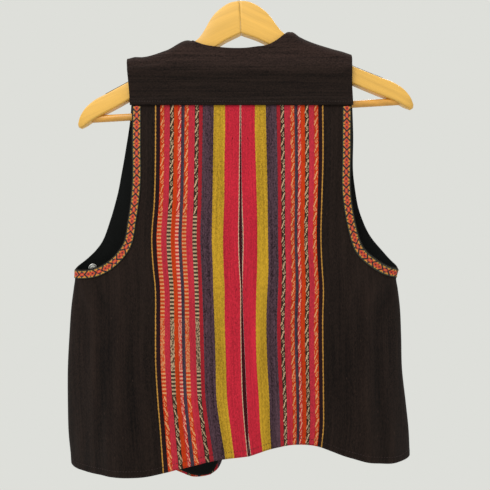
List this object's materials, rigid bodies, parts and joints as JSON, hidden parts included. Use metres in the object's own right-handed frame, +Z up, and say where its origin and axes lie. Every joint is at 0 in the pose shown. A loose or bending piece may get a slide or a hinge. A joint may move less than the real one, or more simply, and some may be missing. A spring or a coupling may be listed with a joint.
{
  "type": "folk vest on a wooden coat hanger",
  "caption": "Sleeveless open-front folk vest of striped handwoven wool with a shoulder yoke and ribbon-edged armholes, hung on a wooden coat hanger.",
  "frame": {"origin": "inside top of the hook, where it rests on a rail", "axes": "+Z up, -Y out of the back of the vest, +Y out of its front, +X to the wearer's right"},
  "size_m": [0.4583, 0.1405, 0.7047],
  "materials": {
    "handweave": "warp-faced wool handweave, striped band between black fields",
    "black_wool": "thick brown-black wool cloth",
    "lining": "smooth black cotton lining",
    "ribbon": "narrow woven patterned trim",
    "steel": "nickel-plated steel",
    "hanger_wood": "clear-varnished pale wood",
    "grip_rubber": "matte black rubber"
  },
  "bodies": {
    "root": {"back_left": "handweave", "back_right": "handweave", "front_left": "handweave", "front_right": "handweave", "yoke": "black_wool", "lining_left": "lining", "lining_right": "lining", "ribbon_left": "ribbon", "ribbon_right": "ribbon", "stud_cap": "steel", "stud_socket": "steel", "hanger_left": "hanger_wood", "hanger_right": "hanger_wood", "hanger_bar": "hanger_wood", "grip_left": "grip_rubber", "grip_right": "grip_rubber", "hook": "steel"}
  },
  "joints": []
}
